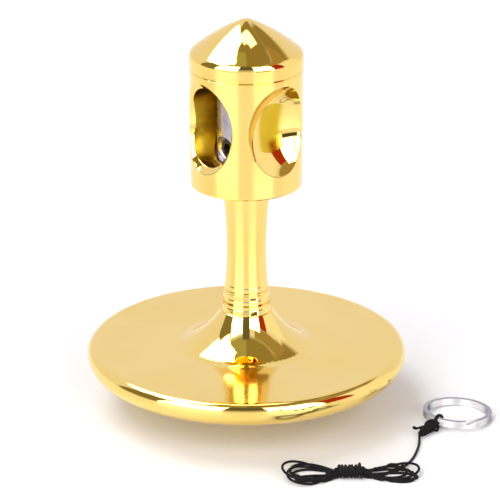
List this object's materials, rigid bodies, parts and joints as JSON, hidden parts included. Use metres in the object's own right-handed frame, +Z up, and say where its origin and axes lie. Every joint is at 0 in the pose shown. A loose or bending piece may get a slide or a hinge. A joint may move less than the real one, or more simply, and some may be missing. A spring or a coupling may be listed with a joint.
{
  "type": "spinning top",
  "caption": "Pull-cord spinning top: heavy disc with a waisted stem under a bearing-mounted grip with finger dishes, and a hanked cord on a split ring.",
  "frame": {"origin": "contact point of the ball tip on the floor, on the spin axis", "axes": "+Z up the spin axis; the grip's window opens along X and its blind finger dishes face along Y"},
  "size_m": [0.062, 0.0804, 0.0758],
  "materials": {
    "gold_metal": "mirror-polished, gold coloured",
    "ground_steel": "ground",
    "turned_steel": "fine turned, grey",
    "black_screw": "black oxide",
    "spring_steel": "phosphated spring steel",
    "ball_steel": "polished bearing steel",
    "bearing_steel": "fine ground",
    "cage_plastic": "natural nylon",
    "black_cord": "braided cord",
    "bright_ring": "nickel-plated spring wire"
  },
  "bodies": {
    "flywheel": {"flywheel_disc": "gold_metal", "stem": "gold_metal", "spindle": "ground_steel", "retaining_ring": "spring_steel", "tip_holder": "gold_metal", "tip_ball": "ball_steel", "spindle_sleeve": "turned_steel", "sleeve_set_screw": "black_screw", "lower_inner_race": "bearing_steel", "upper_inner_race": "bearing_steel"},
    "grip": {"grip_barrel": "gold_metal", "grip_cap": "gold_metal", "lower_outer_race": "bearing_steel", "upper_outer_race": "bearing_steel", "lower_shields": "bearing_steel", "upper_shields": "bearing_steel"},
    "lower_ball_train": {"lower_balls": "ball_steel", "lower_cage": "cage_plastic"},
    "upper_ball_train": {"upper_balls": "ball_steel", "upper_cage": "cage_plastic"},
    "pull_cord": {"cord_hank": "black_cord", "cord_wrap": "black_cord", "cord_tail": "black_cord", "ring_knot": "black_cord"},
    "finger_ring": {"split_ring": "bright_ring"}
  },
  "joints": [
    {"name": "grip_spin", "type": "hinge", "parent": "flywheel", "child": "grip", "pos_m": [0, 0, 0.0566], "axis": [0, 0, 1], "continuous": true},
    {"name": "lower_balls_orbit", "type": "hinge", "parent": "flywheel", "child": "lower_ball_train", "pos_m": [0, 0, 0.0467], "axis": [0, 0, 1], "continuous": true},
    {"name": "upper_balls_orbit", "type": "hinge", "parent": "flywheel", "child": "upper_ball_train", "pos_m": [0, 0, 0.0665], "axis": [0, 0, 1], "continuous": true},
    {"name": "cord_lift", "type": "slide", "parent": "flywheel", "child": "pull_cord", "axis": [0, 0, 1], "range_m": [0, 0.1]},
    {"name": "ring_swing", "type": "hinge", "parent": "pull_cord", "child": "finger_ring", "pos_m": [0.01933, -0.0332, 0.00139], "axis": [0.1908, -0.9816, 0], "range_deg": [0, 120]}
  ],
  "couplings": [
    {"joint": "lower_balls_orbit", "follows": "grip_spin", "ratio": 0.6125},
    {"joint": "upper_balls_orbit", "follows": "grip_spin", "ratio": 0.6125}
  ]
}
